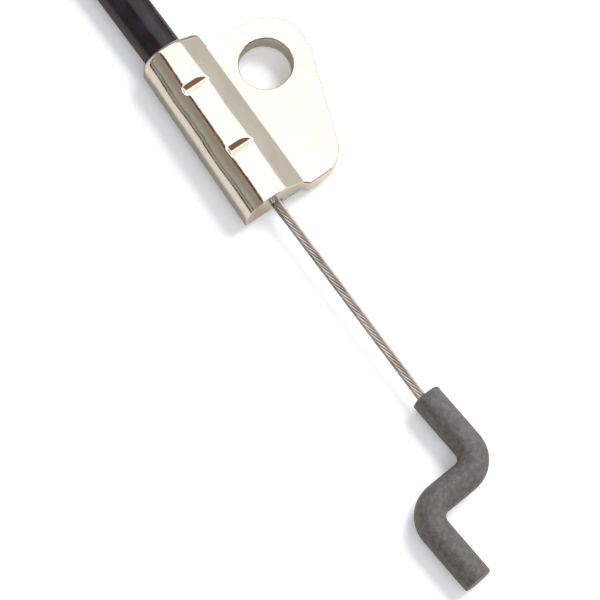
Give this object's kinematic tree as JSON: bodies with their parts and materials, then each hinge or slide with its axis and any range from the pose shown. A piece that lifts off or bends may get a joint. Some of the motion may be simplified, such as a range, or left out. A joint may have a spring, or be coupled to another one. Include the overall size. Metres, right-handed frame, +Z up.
{
  "type": "brake cable",
  "caption": "Mower brake cable: plated cast fitting with a bolt ear on a black conduit, and a bare steel strand that slides in it and ends in a cast Z.",
  "frame": {"origin": "on the flat underside of the cast fitting's ear, between the bolt hole and the front edge", "axes": "+X along the inner wire towards the Z-shaped end, +Y towards the fixing ear, +Z up from the ear's flat underside; the conduit stands out 1.6 mm below it"},
  "size_m": [0.1456, 0.0833, 0.01],
  "materials": {
    "plated_casting": "bright nickel plate over copper on die-cast zinc",
    "conduit_jacket": "satin black extruded PVC",
    "armour_steel": "wound flat steel wire",
    "liner": "smooth white liner",
    "strand": "laid galvanised steel strand",
    "dull_casting": "dull dark grey die casting",
    "ferrule_steel": "zinc plated steel",
    "nipple_steel": "turned steel"
  },
  "bodies": {
    "sheath": {"conduit_fitting": "plated_casting", "near_jacket": "conduit_jacket", "near_armour": "armour_steel", "near_liner": "liner", "conduit_coil": "conduit_jacket", "far_jacket": "conduit_jacket", "far_armour": "armour_steel", "far_liner": "liner", "far_ferrule": "ferrule_steel"},
    "inner_wire": {"near_wire": "strand", "z_end": "dull_casting"},
    "far_inner_wire": {"far_wire": "strand", "far_nipple": "nipple_steel"}
  },
  "joints": [
    {"name": "wire_slide", "type": "slide", "parent": "sheath", "child": "inner_wire", "axis": [1, 0, 0], "range_m": [-0.0283, 0]},
    {"name": "far_wire_slide", "type": "slide", "parent": "sheath", "child": "far_inner_wire", "axis": [1, 0, 0], "range_m": [0, 0.0283]}
  ],
  "couplings": [
    {"joint": "far_wire_slide", "follows": "wire_slide", "ratio": -1}
  ]
}
